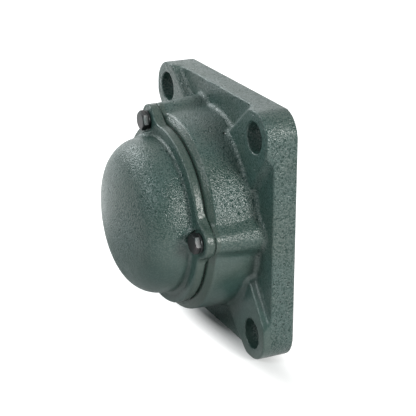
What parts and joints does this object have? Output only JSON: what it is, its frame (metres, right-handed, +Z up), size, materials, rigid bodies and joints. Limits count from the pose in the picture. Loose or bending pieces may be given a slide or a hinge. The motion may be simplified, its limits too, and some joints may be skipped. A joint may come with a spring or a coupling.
{
  "type": "four-bolt flange bearing",
  "caption": "Square flange-mounted ball bearing unit with a domed closed cover, a self-aligning insert and a through bore that takes the end of a shaft.",
  "frame": {"origin": "where the shaft line meets the plane of the mounting face, at the centre of the four bolt holes", "axes": "+Z up, +Y along the shaft into the wall that the flange is bolted to, so the cover points to -Y"},
  "size_m": [0.1284, 0.0693, 0.1284],
  "materials": {
    "casting_paint": "dark green-grey enamel over a rough sand casting, semi-gloss",
    "gasket_board": "dark pressed fibre board",
    "black_screw": "black oxide steel",
    "ground_steel": "ground bearing steel with a film of oil",
    "cage_polymer": "natural glass-filled polymer",
    "seal_rubber": "black moulded rubber",
    "plated_sheet": "pressed sheet steel, zinc plated",
    "nipple_plate": "yellow passivated steel"
  },
  "bodies": {
    "housing": {"housing": "casting_paint", "cover": "casting_paint", "cover_gasket": "gasket_board", "cover_screw_top": "black_screw", "cover_screw_side": "black_screw", "cover_screw_low": "black_screw", "lock_washer_top": "black_screw", "lock_washer_side": "black_screw", "lock_washer_low": "black_screw", "grease_nipple": "nipple_plate", "nipple_ball": "ground_steel"},
    "pin": {"locating_pin": "ground_steel"},
    "outer_race": {"outer_ring": "ground_steel", "seal_front": "seal_rubber", "seal_back": "seal_rubber"},
    "inner_race": {"inner_ring": "ground_steel", "set_screw_a": "black_screw", "set_screw_b": "black_screw", "slinger_front": "plated_sheet", "slinger_back": "plated_sheet"},
    "ball_set": {"cage": "cage_polymer", "ball_1": "ground_steel", "ball_2": "ground_steel", "ball_3": "ground_steel", "ball_4": "ground_steel", "ball_5": "ground_steel", "ball_6": "ground_steel", "ball_7": "ground_steel", "ball_8": "ground_steel", "ball_9": "ground_steel"}
  },
  "joints": [
    {"name": "align_pitch", "type": "hinge", "parent": "housing", "child": "pin", "pos_m": [0, -0.021, 0], "axis": [1, 0, 0], "range_deg": [-2, 2]},
    {"name": "align_yaw", "type": "hinge", "parent": "pin", "child": "outer_race", "pos_m": [0, -0.021, 0], "axis": [0, 0, 1], "range_deg": [-2, 2]},
    {"name": "shaft_spin", "type": "hinge", "parent": "outer_race", "child": "inner_race", "pos_m": [0, -0.021, 0], "axis": [0, 1, 0], "continuous": true},
    {"name": "ball_travel", "type": "hinge", "parent": "outer_race", "child": "ball_set", "pos_m": [0, -0.021, 0], "axis": [0, 1, 0], "continuous": true}
  ],
  "couplings": [
    {"joint": "ball_travel", "follows": "shaft_spin", "ratio": 0.4}
  ]
}
